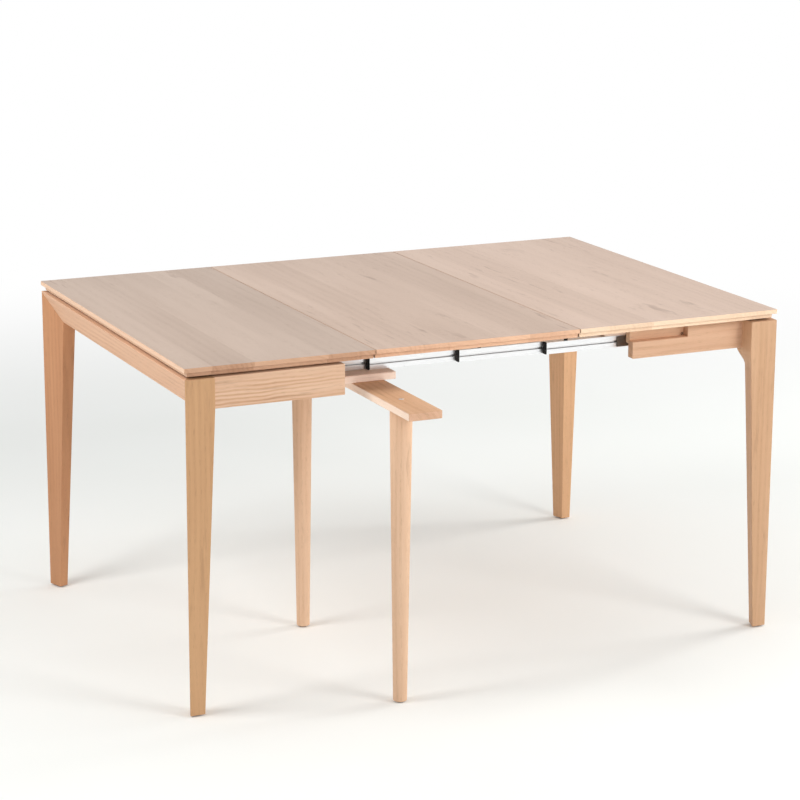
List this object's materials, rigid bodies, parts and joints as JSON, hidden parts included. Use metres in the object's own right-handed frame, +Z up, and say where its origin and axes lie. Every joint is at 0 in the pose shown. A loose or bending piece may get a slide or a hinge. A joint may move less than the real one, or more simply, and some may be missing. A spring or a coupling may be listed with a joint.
{
  "type": "extendable console table",
  "caption": "Oak console table opened on telescopic metal rails, with framed end panels, a lift-out leaf and a sliding centre support on turned legs.",
  "frame": {"origin": "on the floor, under the middle of the opened table's overall box, support included", "axes": "+X along the rails towards the end frame that pulls out, +Y from the front of the picture to the back, +Z up"},
  "size_m": [1.415, 1.184, 0.75],
  "materials": {
    "oak": "clear matt lacquer",
    "pale_oak": "bare, planed",
    "aluminium": "satin anodised",
    "black_plastic": "moulded",
    "dark_steel": "dark bronze paint",
    "bright_steel": "zinc plated",
    "grey_nylon": "moulded"
  },
  "bodies": {
    "left_frame": {"left_top": "oak", "front_left_leg": "oak", "back_left_leg": "oak", "left_end_apron": "oak", "front_left_apron": "oak", "back_left_apron": "oak", "front_left_cleat": "pale_oak", "back_left_cleat": "pale_oak", "front_rail_stage_0": "aluminium", "back_rail_stage_0": "aluminium", "front_rail_batten": "pale_oak", "back_rail_batten": "pale_oak", "front_batten_hanger_outer": "pale_oak", "front_batten_hanger_inner": "pale_oak", "back_batten_hanger_outer": "pale_oak", "back_batten_hanger_inner": "pale_oak", "front_left_glide": "grey_nylon", "back_left_glide": "grey_nylon"},
    "first_stage": {"front_rail_stage_1": "aluminium", "back_rail_stage_1": "aluminium", "front_rail_cap_1": "black_plastic", "back_rail_cap_1": "black_plastic", "front_rail_stud_1": "black_plastic", "back_rail_stud_1": "black_plastic"},
    "second_stage": {"front_rail_stage_2": "aluminium", "back_rail_stage_2": "aluminium", "front_rail_cap_2": "black_plastic", "back_rail_cap_2": "black_plastic", "front_rail_stud_2": "black_plastic", "back_rail_stud_2": "black_plastic"},
    "right_frame": {"right_top": "oak", "front_right_leg": "oak", "back_right_leg": "oak", "right_end_apron": "oak", "front_right_apron": "oak", "back_right_apron": "oak", "front_right_cleat": "pale_oak", "back_right_cleat": "pale_oak", "front_rail_stage_3": "aluminium", "back_rail_stage_3": "aluminium", "front_rail_cap_3": "black_plastic", "back_rail_cap_3": "black_plastic", "front_rail_stud_3": "black_plastic", "back_rail_stud_3": "black_plastic", "front_rail_block": "pale_oak", "back_rail_block": "pale_oak", "front_rail_bracket": "dark_steel", "back_rail_bracket": "dark_steel", "front_right_glide": "grey_nylon", "back_right_glide": "grey_nylon"},
    "leaf": {"middle_leaf": "oak"},
    "support": {"support_crossbar": "oak", "front_support_leg": "oak", "back_support_leg": "oak", "front_support_bolt": "bright_steel", "back_support_bolt": "bright_steel", "front_support_glide": "grey_nylon", "back_support_glide": "grey_nylon"}
  },
  "joints": [
    {"name": "extension", "type": "slide", "parent": "left_frame", "child": "right_frame", "axis": [1, 0, 0], "range_m": [0, 0.24]},
    {"name": "first_stage_slide", "type": "slide", "parent": "left_frame", "child": "first_stage", "axis": [1, 0, 0], "range_m": [0, 0.08]},
    {"name": "second_stage_slide", "type": "slide", "parent": "left_frame", "child": "second_stage", "axis": [1, 0, 0], "range_m": [0, 0.16]},
    {"name": "leaf_lift", "type": "slide", "parent": "left_frame", "child": "leaf", "axis": [0, 0, 1], "range_m": [0, 0.2]},
    {"name": "support_slide", "type": "slide", "parent": "left_frame", "child": "support", "axis": [0, 1, 0], "range_m": [0, 0.31]}
  ],
  "couplings": [
    {"joint": "first_stage_slide", "follows": "extension", "ratio": 0.33333},
    {"joint": "second_stage_slide", "follows": "extension", "ratio": 0.66667}
  ]
}
